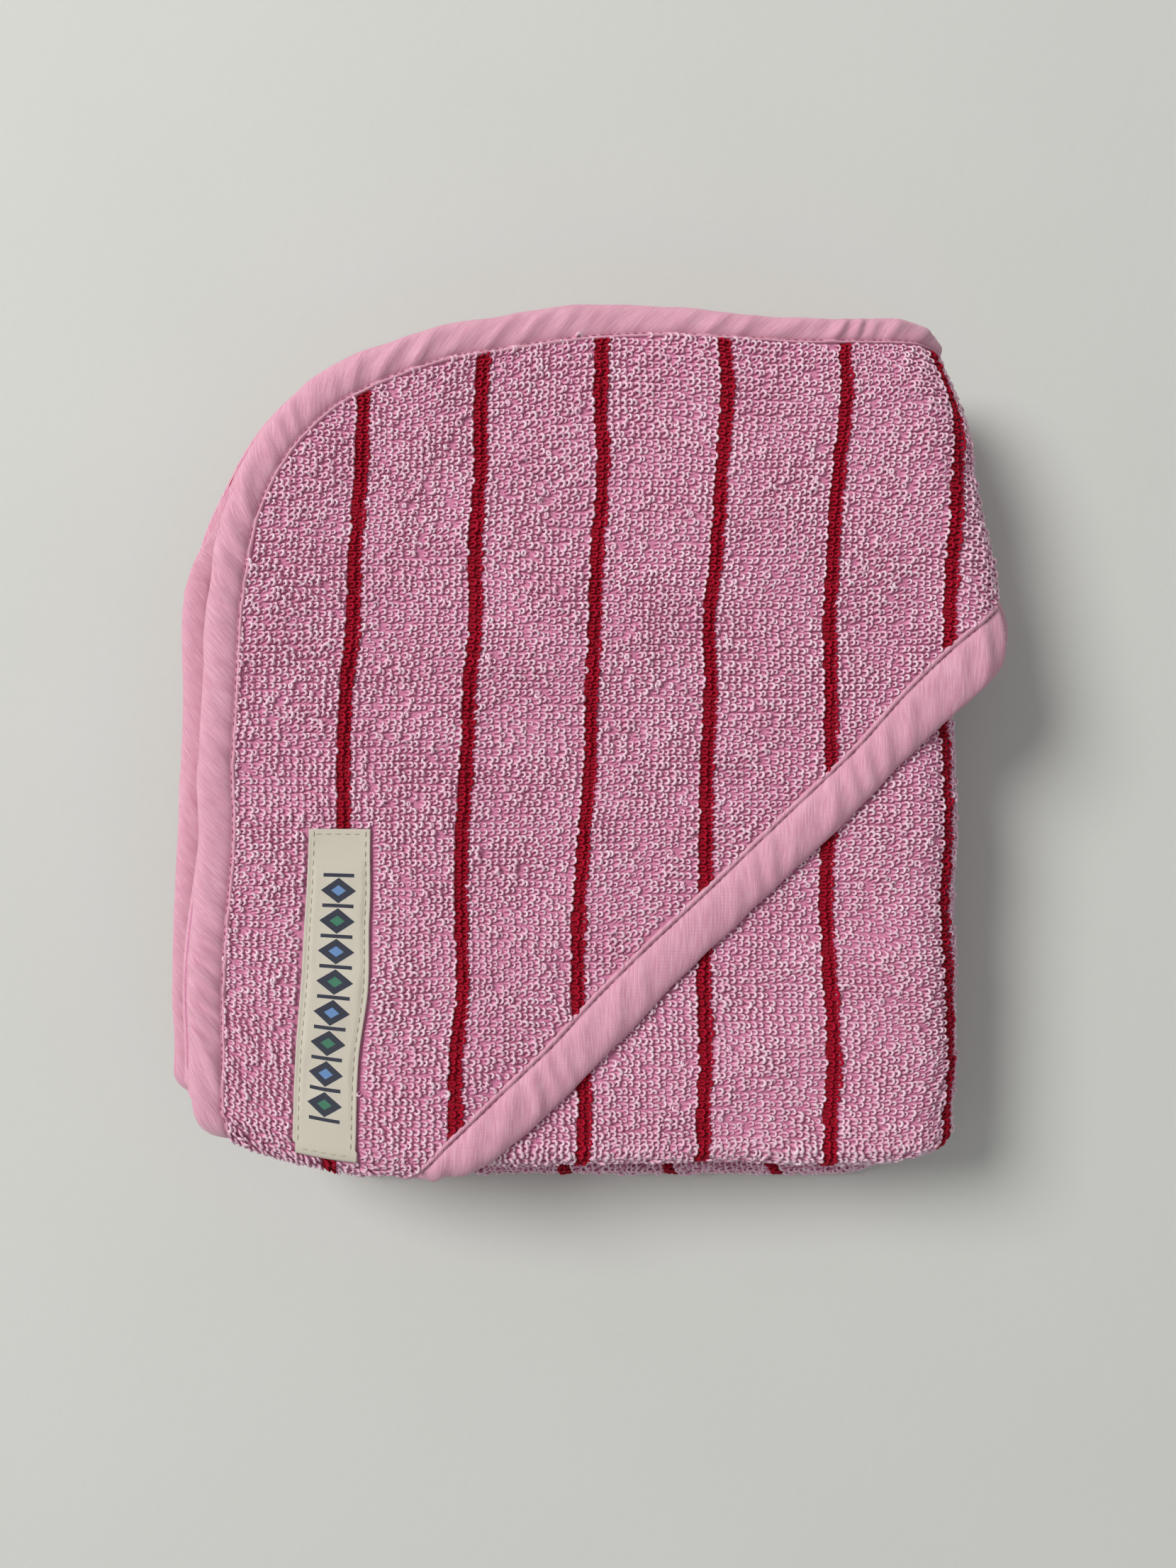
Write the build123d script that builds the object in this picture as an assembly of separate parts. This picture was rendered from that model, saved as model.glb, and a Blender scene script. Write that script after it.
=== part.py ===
from build123d import *
from math import cos, radians
import os

# A hooded baby towel, 1 m square, folded into a flat packet that lies on its back.
# Millimetres. X runs across the packet, Y up the packet, Z up from the surface it lies on.
# The towel is folded twice in Y and then twice in X, so the packet is a stack of four slabs,
# each of four cloth layers. The last fold is the spine at +X. The hood's corner is at -X, +Y.

# Cloth
LAYER = 2.9                      # one layer of looped terry
SLAB = 4 * LAYER                 # four layers
STACK = 4 * SLAB                 # the folded towel without its hood
BODY_TOP = STACK
HOOD_TOP = STACK + LAYER         # the hood panel lies on the stack

# Plan of the four slabs, from the bottom slab up
SPINE_X = 107.0                  # where the flat slabs end and the last fold's turn begins
SLAB_LEFT = (-98.0, -98.0, -127.0, -113.0)
SLAB_BOTTOM = (-135.5, -128.0, -123.0, -121.5)
SLAB_TOP = (115.0, 116.5, 134.0, 135.5)
CORNER_R = (60.0, 60.0, 75.0, 75.0)
FOLD_ROUND = 4.0                 # softness of the folded edges
SPINE_TOP = 128.0
SPINE_REACH = 10.0
SPINE_ROUND = 9.0

# Edge binding
BINDING_W = 11.0
BINDING_TOP = 50.0

# Hood
HOOD_LIP = LAYER                 # the hood panel turns down over the front slab's fold
HOOD_LIP_DEPTH = 10.0
HOOD_REACH = 16.0                # its loose turn round the spine
HOOD_ROUND = 14.0
DIAGONAL_ANGLE = 42.0            # the free edge of the hood, from the X axis
DIAGONAL_POINT = (-61.0, -124.4)
SPINE_EDGE_FRONT_Y = 30.0        # where the free edge starts its climb round the spine
SPINE_EDGE_BACK_Y = 96.0         # and where it reaches the underside

# Hood binding
HOOD_BINDING_W = 15.0
HOOD_BINDING_TOP = 49.7
HOOD_BINDING_REACH = 20.0

# Thread and label
THREAD_W = 0.6
THREAD_H = 0.3
EDGE_THREAD_H = 0.5
HOOD_THREAD_INSET = 1.6
LABEL_W = 18.5
LABEL_L = 98.5
LABEL_T = 0.4
LABEL_CENTRE = (-72.3, -69.0)
LABEL_TILT = -4.3
LABEL_THREAD_INSET = 1.5

FAR = 400.0                      # larger than the packet, for cutting solids


def plan_block(left, right, bottom, top, corner_r, z_low, height):
    """A slab in plan, with its corner at -X, +Y rounded."""
    outline = Polyline(
        (left + corner_r, top),
        (right, top),
        (right, bottom),
        (left, bottom),
        (left, top - corner_r),
    )
    corner = RadiusArc((left, top - corner_r), (left + corner_r, top), corner_r)
    face = make_face([*outline.edges(), *corner.edges()])
    return Pos(0, 0, z_low) * extrude(face, height, dir=(0, 0, 1))


def box_between(x, y, z):
    """A box from pairs of limits."""
    size = [high - low for low, high in (x, y, z)]
    middle = [(high + low) / 2 for low, high in (x, y, z)]
    return Pos(*middle) * Box(*size)


def turn_block(reach, rounding, height, bottom, top):
    """The solid round turn of the last fold, seen along Y."""
    block = box_between((SPINE_X, SPINE_X + reach), (bottom, top), (0, height))
    outer = block.edges().filter_by(Axis.Y).group_by(Axis.X)[-1]
    return fillet(outer, rounding)


def half_plane(offset):
    """Everything on the corner side of the hood's diagonal, moved out by offset."""
    block = Pos(-FAR, FAR / 2, 0) * Box(4 * FAR, FAR, FAR)
    block = Pos(0, -offset, 0) * block
    return Pos(*DIAGONAL_POINT, 0) * Rot(0, 0, DIAGONAL_ANGLE) * block


def spine_wedge(shift):
    """Everything above the free edge's climb round the spine, moved along Y by shift."""
    profile = Polyline(
        (0, FAR, -1),
        (0, SPINE_EDGE_BACK_Y + shift, -1),
        (0, SPINE_EDGE_BACK_Y + shift, 0),
        (0, SPINE_EDGE_FRONT_Y + shift, HOOD_TOP),
        (0, SPINE_EDGE_FRONT_Y + shift, HOOD_TOP + 5),
        (0, FAR, HOOD_TOP + 5),
        close=True,
    )
    face = make_face(profile.edges())
    return Pos(SPINE_X, 0, 0) * extrude(face, FAR, dir=(1, 0, 0))


def slab(index):
    """One slab of four layers, whole, with its bound margin."""
    return plan_block(
        SLAB_LEFT[index], SPINE_X, SLAB_BOTTOM[index], SLAB_TOP[index],
        CORNER_R[index], index * SLAB, SLAB,
    )


def margin_inside(index, bottom, z_low, height):
    """What a slab's margin encloses. The two lower slabs end in a fold at -X, so only their top is bound."""
    top = SLAB_TOP[index] - BINDING_W
    if index < 2:
        return box_between((-FAR, SPINE_X), (bottom, top), (z_low, z_low + height))
    left = SLAB_LEFT[index] + BINDING_W
    return plan_block(left, SPINE_X, bottom, top, CORNER_R[index] - BINDING_W, z_low, height)


def slab_inside(index):
    """A slab without the margin that the binding covers."""
    solid = slab(index) & margin_inside(index, SLAB_BOTTOM[index], index * SLAB, SLAB)
    folds = solid.edges().filter_by(Axis.X).group_by(Axis.Y)[0]
    return fillet(folds, FOLD_ROUND)


def make_towel_body():
    solid = turn_block(
        SPINE_REACH, SPINE_ROUND, STACK, SLAB_BOTTOM[3], SLAB_TOP[0] - BINDING_W
    )
    for index in range(4):
        solid += slab_inside(index)
    return solid


def make_edge_binding():
    solid = turn_block(SPINE_REACH, SPINE_ROUND, STACK, SLAB_TOP[0] - BINDING_W, SPINE_TOP)
    for index in range(4):
        solid += slab(index) - margin_inside(index, SLAB_BOTTOM[index] - 1, index * SLAB, SLAB)
    front_height = BINDING_TOP - STACK
    front = plan_block(
        SLAB_LEFT[3], SPINE_X, SLAB_BOTTOM[3], SLAB_TOP[3], CORNER_R[3], STACK, front_height
    )
    return solid + (front - margin_inside(3, SLAB_BOTTOM[3] - 1, STACK, front_height))


def hood_sheet(top, reach, rounding):
    """A loose cover over the front, the front slab's fold and the spine, up to a given height."""
    left = SLAB_LEFT[3] + BINDING_W
    upper = SLAB_TOP[3] - BINDING_W
    lower = SLAB_BOTTOM[3] - HOOD_LIP
    plate = plan_block(
        left, SPINE_X, lower, upper, CORNER_R[3] - BINDING_W, BODY_TOP, top - BODY_TOP
    )
    lip = box_between(
        (left, SPINE_X), (lower, SLAB_BOTTOM[3]), (BODY_TOP - HOOD_LIP_DEPTH, BODY_TOP)
    )
    turn = turn_block(reach, rounding, top, lower, upper)
    hollow = turn_block(
        HOOD_REACH - LAYER, HOOD_ROUND - LAYER, BODY_TOP, lower - 1, upper + 1
    )
    return plate, lip, turn - hollow


def make_hood_panel():
    plate, lip, turn = hood_sheet(HOOD_TOP, HOOD_REACH, HOOD_ROUND)
    corner_side = half_plane(0)
    return (plate & corner_side) + (lip & corner_side) + (turn & spine_wedge(0))


def make_hood_binding():
    plate, lip, turn = hood_sheet(HOOD_BINDING_TOP, HOOD_BINDING_REACH, HOOD_ROUND)
    strip = half_plane(HOOD_BINDING_W) - half_plane(0)
    rise = HOOD_BINDING_W / cos(radians(DIAGONAL_ANGLE))
    spine_strip = spine_wedge(-rise) - spine_wedge(0)
    return (plate & strip) + (lip & strip) + (turn & spine_strip)


def make_edge_stitching():
    """The seam thread along the inner edge of the binding, on the hood panel."""
    outline = [SLAB_LEFT[3] + BINDING_W, SPINE_X, SLAB_BOTTOM[3], SLAB_TOP[3] - BINDING_W]
    radius = CORNER_R[3] - BINDING_W
    outer = plan_block(*outline, radius, HOOD_TOP, EDGE_THREAD_H)
    outline[0] += THREAD_W
    outline[3] -= THREAD_W
    inner = plan_block(*outline, radius - THREAD_W, HOOD_TOP, EDGE_THREAD_H)
    return (outer - inner) & half_plane(-THREAD_W)


def make_hood_stitching():
    """The seam thread along the hood's free edge, on its binding."""
    near = half_plane(HOOD_THREAD_INSET)
    far = half_plane(HOOD_THREAD_INSET + THREAD_W)
    left = DIAGONAL_POINT[0]
    area = box_between(
        (left, SPINE_X), (SLAB_BOTTOM[3], SLAB_TOP[3]), (HOOD_BINDING_TOP, HOOD_BINDING_TOP + THREAD_H)
    )
    return area & (far - near)


def on_label(solid):
    return Pos(*LABEL_CENTRE, HOOD_TOP) * Rot(0, 0, LABEL_TILT) * solid


def make_woven_label():
    return on_label(Pos(0, 0, LABEL_T / 2) * Box(LABEL_W, LABEL_L, LABEL_T))


def make_label_stitching():
    """The thread round the label, just inside its edge."""
    width = LABEL_W - 2 * LABEL_THREAD_INSET
    length = LABEL_L - 2 * LABEL_THREAD_INSET
    outer = Box(width, length, THREAD_H)
    inner = Box(width - 2 * THREAD_W, length - 2 * THREAD_W, THREAD_H)
    return on_label(Pos(0, 0, LABEL_T + THREAD_H / 2) * (outer - inner))


PARTS = {
    "towel_body": make_towel_body,
    "hood_panel": make_hood_panel,
    "edge_binding": make_edge_binding,
    "hood_binding": make_hood_binding,
    "edge_stitching": make_edge_stitching,
    "hood_stitching": make_hood_stitching,
    "woven_label": make_woven_label,
    "label_stitching": make_label_stitching,
}

os.makedirs("parts", exist_ok=True)
for node, make in PARTS.items():
    export_step(make(), f"parts/{node}.step")
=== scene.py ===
import bpy
import math
import numpy as np
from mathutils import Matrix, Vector


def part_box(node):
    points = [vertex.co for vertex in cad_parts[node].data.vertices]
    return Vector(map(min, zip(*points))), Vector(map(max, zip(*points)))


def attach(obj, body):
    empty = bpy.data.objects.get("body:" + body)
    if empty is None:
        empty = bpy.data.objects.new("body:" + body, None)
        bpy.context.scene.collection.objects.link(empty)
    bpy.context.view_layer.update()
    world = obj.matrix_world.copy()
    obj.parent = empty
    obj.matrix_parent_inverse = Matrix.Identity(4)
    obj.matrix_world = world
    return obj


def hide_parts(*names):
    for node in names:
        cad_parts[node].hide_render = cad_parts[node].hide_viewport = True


# A hooded baby towel folded into a packet of sixteen layers. The folded cloth is one mapping from the flat
# towel to the packet, Folding.place, and every sewn or woven piece is laid out flat and sent through it.
# Flat coordinates, in metres: u runs across the towel from its left edge, v down it from its top edge, and
# n is the height above the middle of the cloth, on the side that the hood is sewn to.

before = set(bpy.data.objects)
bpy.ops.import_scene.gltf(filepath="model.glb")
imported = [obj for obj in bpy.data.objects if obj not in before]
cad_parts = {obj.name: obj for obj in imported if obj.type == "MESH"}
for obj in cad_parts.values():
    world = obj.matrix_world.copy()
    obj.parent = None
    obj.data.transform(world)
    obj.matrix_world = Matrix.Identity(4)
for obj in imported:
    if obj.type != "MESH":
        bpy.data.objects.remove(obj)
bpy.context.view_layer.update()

BODY_HIGH = np.array(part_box("towel_body")[1])
BINDING_HIGH = np.array(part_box("edge_binding")[1])
HOOD_LOW, HOOD_HIGH = (np.array(corner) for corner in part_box("hood_panel"))
THREAD_LOW = np.array(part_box("edge_stitching")[0])
LABEL_HIGH = np.array(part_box("woven_label")[1])

# ---- sizes
TOWEL = 1.0  # the flat towel is square
LAYER = HOOD_HIGH[2] - BODY_HIGH[2]  # from one layer's middle to the next
SLAB = 4 * LAYER  # after the two folds in Y
STACK = 4 * SLAB  # after the two folds in X
HALF = 0.00115  # half of the ground cloth's thickness
PILE = 0.0010  # how far the loops stand above it
CORNER_R = 0.0745  # the towel's rounded corners
LOWER_CORNER_R = 0.055  # the lower slabs' fold, squeezed into that corner

FOOT_Y = HOOD_LOW[1] + LAYER + 1.5 * LAYER + HALF + PILE
EDGE_OVER = 0.0011  # the binding's reach beyond the cloth's edge
CLEARANCE = 0.0007
TOP_CREST = 0.0042  # the top edge rises a little at its middle
TOP_Y = BINDING_HIGH[1] - CLEARANCE - EDGE_OVER
INNER_TOP_Y = TOP_Y - 0.0036  # the fold that lies behind the top edge
EDGE_X1 = THREAD_LOW[0] - 0.0030  # bound edge of the front slab, before it leans
EDGE_X2 = EDGE_X1 - 0.0107  # bound edge of the second slab
LOWER_LEFT_X = -0.098  # where the two lower slabs end
LEFT_FOLD_X = LOWER_LEFT_X + 3.5 * LAYER + HALF + PILE
SPINE_BULGE = 0.0020
SPINE_EXTREME_X = BODY_HIGH[0] - HALF - SPINE_BULGE + 0.0005
SPINE_R = 0.012  # the spine's corners; between them it is nearly flat
SPINE_SLACK = 0.004
SPINE_PULL = 0.0095  # how far the spine is drawn in at the top edge
SPINE_BASE = SLAB + 3.5 * LAYER  # the outermost layer's distance from the spine's middle
SPINE_CENTRE_X = SPINE_EXTREME_X - SPINE_R
THIN = 0.0002  # the least radius that a layer turns at
LOWEST_SLAB_SHIFT = 0.0140  # how far the two lower slabs stand out at the foot
LOWER_SLAB_SHIFT = 0.0060
HOOD_SLACK = 0.013  # how far the loose hood stands out beside the spine
HOOD_SPINE_R = 0.009  # and how sharply it turns there

BINDING_W = 0.011
HOOD_BINDING_W = 0.015
HOOD_LEG = 0.322  # where the hood binding's inner edge meets a towel edge
DIAGONAL = math.sqrt(2.0)
HOOD_CUT = HOOD_LEG + HOOD_BINDING_W * DIAGONAL  # the leg of the whole hood, binding included

STRIPE_PITCH = 0.0364
STRIPE_W = 0.0039
STRIPE_FIRST = 0.0423  # the first stripe's middle
COLUMNS_PER_STRIPE = 19
RED_COLUMNS = 2
COLUMN = STRIPE_PITCH / COLUMNS_PER_STRIPE  # loop spacing across the towel
ROW = 0.0022  # loop spacing along it

LABEL_W = 0.0188
LABEL_TOP_V = TOP_Y - LABEL_HIGH[1]
LABEL_L = 0.0985
LABEL_U = STRIPE_FIRST - 0.0006  # it is sewn over the first stripe

# How far the cloth has crept towards the open side, in millimetres. Each row runs across the towel, its first
# value at the bound edge and then one per stripe. The first row is at the top of the packet.
CREEP = [
    [0.0, 0.0, 0.5, 0.5, 1.0, 0.0, 3.0],
    [1.5, 2.0, 3.0, 2.5, 3.0, 4.5, 4.0],
    [4.0, 4.5, 4.5, 5.0, 5.5, 6.0, 6.5],
    [6.5, 6.0, 5.5, 6.0, 6.5, 6.0, 6.5],
    [8.0, 5.5, 7.5, 8.5, 8.5, 8.5, 6.5],
    [9.0, 9.0, 8.0, 8.5, 7.5, 6.0, 5.5],
    [9.5, 12.0, 10.0, 8.5, 7.5, 5.0, 4.0],
]
CREEP_TOP_Y = 0.130  # the first row's place
CREEP_ROW = 0.040  # from one row to the next

STAND_OFF = 0.0009  # how far the lowest loops hold the cloth off the floor
PRESSED = 0.0006  # below this height a loop is pressed flat
ARC_DIP = 0.0028  # how much flatter the round corner starts along the top edge
BEHIND_EDGE = 0.0045  # folded layers lie this far behind the bound ones
FOLD_CORNER_INSET = 0.055  # how much flatter than a circle their corner is
SECOND_SLAB_SHIFT = 0.0015  # how far the second slab stands out at the foot
SECOND_TOP_DROP = 0.0035  # and lies lower than the first at the top
SECOND_SIDE_LEAN = 0.0017  # and leans out at the left
UNDER_LAYER_PEEK = 0.0032  # how far a lower layer shows beside the bound edge
INNER_LAYER_TUCK = 0.0012  # how far a layer between two bound ones is drawn in


def ramp(value, start, end):
    """0 at start and 1 at end, smooth between, whichever of the two is larger."""
    t = np.clip((value - start) / (end - start), 0.0, 1.0)
    return t * t * (3.0 - 2.0 * t)


class Noise:
    """A smooth random field from -1 to 1, with about one bump per unit."""

    SIZE = 96

    def __init__(self, seed):
        self.grid = np.random.default_rng(seed).uniform(-1.0, 1.0, (self.SIZE, self.SIZE))

    def __call__(self, x, y):
        x, y = np.broadcast_arrays(x, y)
        column, row = np.floor(x).astype(int), np.floor(y).astype(int)
        across, along = x - column, y - row
        across = across * across * (3.0 - 2.0 * across)
        along = along * along * (3.0 - 2.0 * along)
        column, row = column % self.SIZE, row % self.SIZE
        next_column, next_row = (column + 1) % self.SIZE, (row + 1) % self.SIZE
        near = self.grid[row, column] * (1 - across) + self.grid[row, next_column] * across
        far = self.grid[next_row, column] * (1 - across) + self.grid[next_row, next_column] * across
        return near * (1 - along) + far * along


def soft_table(rows, across, down):
    """A quadratic spline surface over a table of values, with places counted in rows and columns."""
    table = np.pad(np.array(rows, dtype=float), 1, mode="edge")

    def weights(place, count):
        place = np.clip(place, -0.49, count - 0.51)
        cell = np.floor(place + 0.5).astype(int)
        t = place + 0.5 - cell
        return cell, (0.5 * (1 - t) ** 2, 0.5 + t * (1 - t), 0.5 * t**2)

    column, column_weights = weights(across, table.shape[1] - 2)
    row, row_weights = weights(down, table.shape[0] - 2)
    total = 0.0
    for i in range(3):
        for j in range(3):
            total = total + row_weights[i] * column_weights[j] * table[row + i, column + j]
    return total


BROAD_RELIEF = Noise(11)
PATCH_RELIEF = Noise(12)
FINE_RELIEF = Noise(13)
SIDE_WOBBLE = Noise(14)
LONG_WOBBLE = Noise(15)
PUCKER = Noise(16)
PUFF = Noise(17)


# ---- the folds
def corner_arc(across, along):
    """Squeezes the unit square's corner into a unit circle's, and leaves the square's other sides alone."""
    inside = (across > 0) & (along > 0)
    a = np.clip(across, 0.0, 1.3)
    b = np.clip(along, 0.0, 1.3)
    rounded_across = a * np.sqrt(1.0 - b * b / 2.0)
    rounded_along = b * np.sqrt(1.0 - a * a / 2.0)
    return np.where(inside, rounded_across, across), np.where(inside, rounded_along, along)


def round_cloth_corners(u, v):
    """The flat square with its four corners cut round."""
    middle = TOWEL / 2
    side_u, side_v = np.sign(u - middle), np.sign(v - middle)
    straight = middle - CORNER_R
    across = (np.abs(u - middle) - straight) / CORNER_R
    along = (np.abs(v - middle) - straight) / CORNER_R
    across, along = corner_arc(across, along)
    return (
        middle + side_u * (straight + across * CORNER_R),
        middle + side_v * (straight + along * CORNER_R),
    )


class Turn:
    """Half a circle round a point, which a layer at offset 0 follows at the given radius."""

    def __init__(self, centre, height, radius, start, end, outside):
        self.centre, self.height, self.radius = centre, height, radius
        self.start, self.end = math.radians(start), math.radians(end)
        self.outside = outside

    def length(self, offset):
        return math.pi * (self.radius + self.outside * offset)

    def at(self, t, n):
        angle = self.start + (self.end - self.start) * t
        radius = np.maximum(self.radius + self.outside * n, THIN)
        return self.centre + radius * np.cos(angle), self.height + radius * np.sin(angle)


class Run:
    """A flat stretch. outside is 1 where the hood's side of the cloth faces up."""

    def __init__(self, start, end, height, outside):
        self.start, self.end, self.height, self.outside = start, end, height, outside

    def length(self, offset):
        return abs(self.end - self.start)

    def at(self, t, n):
        return self.start + (self.end - self.start) * t, self.height + self.outside * n


LENGTHWISE = [
    Run(TOP_Y, FOOT_Y, 3.5 * LAYER, 1),
    Turn(FOOT_Y, 2.0 * LAYER, 1.5 * LAYER, 90, 270, 1),
    Run(FOOT_Y, INNER_TOP_Y, 0.5 * LAYER, -1),
    Turn(INNER_TOP_Y, 1.0 * LAYER, 0.5 * LAYER, -90, 90, 1),
    Run(INNER_TOP_Y, FOOT_Y, 1.5 * LAYER, 1),
    Turn(FOOT_Y, 2.0 * LAYER, 0.5 * LAYER, 270, 90, -1),
    Run(FOOT_Y, TOP_Y, 2.5 * LAYER, -1),
]


def spine_corner(shell, base, corner):
    """The spine's corner radius for a layer at that distance from the spine's middle height."""
    return np.where(shell > base, corner + shell - base, np.minimum(shell, corner))


def spine_at(shell, base, corner, extreme, t):
    """A flattened half turn from the top, at t 0, round the +X side to the bottom, at t 1."""
    radius = spine_corner(shell, base, corner)
    flat = 2.0 * (shell - radius)
    arc = math.pi / 2.0 * radius
    distance = t * (2.0 * arc + flat)
    top_angle = np.clip(distance / radius, 0.0, math.pi / 2.0)
    low_angle = np.clip((distance - arc - flat) / radius, 0.0, math.pi / 2.0)
    along_flat = np.clip(distance - arc, 0.0, flat)
    centre = extreme - (base - shell) - radius
    in_top = distance < arc
    x = centre + radius * np.where(in_top, np.sin(top_angle), np.cos(low_angle))
    height = np.where(
        in_top,
        shell - radius + radius * np.cos(top_angle),
        shell - radius - along_flat - radius * np.sin(low_angle),
    )
    bulge = SPINE_BULGE * ramp(shell, 0.0, base) * (1.0 - (height / shell) ** 2)
    return x + bulge, height


class Folding:
    """The packet's folds, with lengths right for a cloth at the given offset from the towel's own."""

    def __init__(self, offset):
        self.offset = offset
        lengths = np.array([piece.length(offset) for piece in LENGTHWISE])
        lengths[6] = TOWEL - lengths[:6].sum()  # the last run takes up the slack
        self.v_breaks = np.concatenate([[0.0], np.cumsum(lengths)])
        self.first, self.spine_end = (float(x) for x in self.spine_span(np.float64(0.0)))
        self.lower_end = self.spine_end + SPINE_CENTRE_X - LEFT_FOLD_X
        self.left_end = self.lower_end + math.pi * 3.5 * LAYER
        rest = TOWEL - self.left_end
        self.third_end = self.left_end + 0.46 * rest
        self.inner_end = self.third_end + 0.01 * rest

    def spine_shape(self, slack):
        """The turn's half height, corner radius and farthest X. slack is 0 for a taut cloth, up to 1."""
        base = SPINE_BASE + self.offset
        corner = SPINE_R + self.offset
        corner = corner + (HOOD_SPINE_R - corner) * slack
        return base, corner, SPINE_EXTREME_X + self.offset + HOOD_SLACK * slack

    def spine_span(self, slack):
        """Where on the cloth the spine's turn starts and ends."""
        base, corner, extreme = self.spine_shape(slack)
        start = extreme - corner - EDGE_X1
        return start, start + math.pi * corner + 2.0 * (base - corner) + SPINE_SLACK

    def lengthwise(self, v, n):
        y, height = np.zeros_like(v), np.zeros_like(v)
        number = np.searchsorted(self.v_breaks, v, side="right") - 1
        number = np.clip(number, 0, len(LENGTHWISE) - 1)
        for i, piece in enumerate(LENGTHWISE):
            here = number == i
            low, high = self.v_breaks[i], self.v_breaks[i + 1]
            t = (v[here] - low) / (high - low)
            y[here], height[here] = piece.at(t, n[here])
        return y, height

    def crosswise(self, u, height, slack):
        mid = 2.0 * SLAB
        outer, inner = SLAB + height, np.maximum(SLAB - height, THIN)
        base, corner, extreme = self.spine_shape(slack)
        start, end = self.spine_span(slack)
        outer_x = extreme - (base - outer) - spine_corner(outer, base, corner)
        taut_base, taut_corner, taut_extreme = self.spine_shape(0.0)
        inner_x = taut_extreme - (taut_base - inner) - np.minimum(inner, taut_corner)

        def share(low, high):
            return np.clip((u - low) / (high - low), 0.0, 1.0)

        turn_x, turn_z = spine_at(outer, base, corner, extreme, share(start, end))
        back_x, back_z = spine_at(
            inner, taut_base, taut_corner, taut_extreme, 1.0 - share(self.third_end, self.inner_end)
        )
        angle = math.pi / 2.0 + math.pi * (u - self.lower_end) / (self.left_end - self.lower_end)
        reach = np.maximum(height, THIN)
        lowest_x = outer_x + (LEFT_FOLD_X - outer_x) * share(end, self.lower_end)
        lower_x = LEFT_FOLD_X + (inner_x - LEFT_FOLD_X) * share(self.left_end, self.third_end)
        past_turn = (u - self.inner_end) / (TOWEL - self.inner_end)
        stretches = [
            (u < start, EDGE_X1 + (outer_x - EDGE_X1) * u / start, mid + outer),
            (u < end, turn_x, mid + turn_z),
            (u < self.lower_end, lowest_x, mid - outer),
            (u < self.left_end, LEFT_FOLD_X + reach * np.cos(angle), SLAB - reach * np.sin(angle)),
            (u < self.third_end, lower_x, mid - inner),
            (u < self.inner_end, back_x, mid + back_z),
            (u >= self.inner_end, inner_x + (EDGE_X2 - inner_x) * past_turn, mid + inner),
        ]
        here, x, z = zip(*stretches)
        return np.select(here, x), np.select(here, z)

    def place(self, u, v, n, slack=0.0):
        """Where points of the flat towel lie in the packet: an array of x, y, z."""
        u, v, n = (np.array(a, dtype=float) for a in np.broadcast_arrays(u, v, n))
        y, height = self.lengthwise(v, n)
        x, z = self.crosswise(u + self.creep(u, y), height, slack)
        x, y = self.offset_slabs(u, v, x, y)
        x, y = self.squeeze_fold_corners(u, v, x, y)
        z = self.make_room_for_hood(u, x, y, z)
        return np.stack(settle(x, y, z), axis=-1)

    def creep(self, u, y):
        """The upper slabs have slid towards the open side, round the spine."""
        down = (CREEP_TOP_Y - y) / CREEP_ROW
        front = soft_table(CREEP, (u - STRIPE_FIRST) / STRIPE_PITCH + 1.0, down)
        front = front * (1.0 - ramp(u, self.spine_end - 0.030, self.spine_end + 0.005))
        second = soft_table(CREEP, 0.0, down) + 1.5 * ramp(-y, -0.04, 0.03)
        second = second * ramp(u, self.inner_end + 0.01, TOWEL - 0.06)
        return 0.001 * (second - front)

    def offset_slabs(self, u, v, x, y):
        """No fold is exact: the lower slabs stand out at the foot, and the edges don't quite line up."""
        lowest = ramp(u, self.first + 0.010, self.spine_end + 0.014)
        lower = ramp(u, self.lower_end, self.left_end)
        second = ramp(u, self.third_end - 0.012, self.inner_end + 0.020)
        y = y - LOWEST_SLAB_SHIFT * lowest
        y = y + (LOWEST_SLAB_SHIFT - LOWER_SLAB_SHIFT) * lower
        y = y + (LOWER_SLAB_SHIFT - SECOND_SLAB_SHIFT) * second
        y = y - SECOND_TOP_DROP * second * ramp(y, 0.020, 0.100)
        second_side = second * ramp(u, TOWEL - 0.20, TOWEL - 0.08)
        x = x - SECOND_SIDE_LEAN * second_side * ramp(y, 0.010, 0.050) * ramp(y, 0.092, 0.068)
        under = v > self.v_breaks[6]
        behind = (v > self.v_breaks[1]) & (v <= self.v_breaks[6])
        peek = -UNDER_LAYER_PEEK * ramp(-y, -0.010, 0.070) * under + INNER_LAYER_TUCK * behind
        first_edge = 1.0 - ramp(u, 0.0, 0.10)
        second_edge = ramp(u, TOWEL - 0.12, TOWEL)
        return x + peek * first_edge - 0.5 * peek * second_edge, y

    def squeeze_fold_corners(self, u, v, x, y):
        """Where a fold and an edge meet at the packet's round corner, the cloth is pushed in to follow it."""
        bound_corner = (v < self.v_breaks[1]) | (v > self.v_breaks[6])
        front = u < self.first
        lower = ~front & (u <= self.inner_end)
        apply = lower | ~bound_corner
        bound_x = np.where(front, EDGE_X1, EDGE_X2) + BEHIND_EDGE
        left = np.where(lower, LEFT_FOLD_X - 4.0 * LAYER, bound_x)
        top = np.where(lower, TOP_Y - LOWER_SLAB_SHIFT, TOP_Y - BEHIND_EDGE)
        radius = np.where(lower, LOWER_CORNER_R, CORNER_R)
        across = (left + radius - x) / radius
        along = (y - top + radius) / radius
        rounded_across, rounded_along = corner_arc(across, along)
        inset = 1.0 - FOLD_CORNER_INSET * np.clip(across, 0.0, 1.0) * np.clip(along, 0.0, 1.0)
        x = np.where(apply, left + radius - rounded_across * inset * radius, x)
        y = np.where(apply, top - radius + rounded_along * inset * radius, y)
        return x, y

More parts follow.
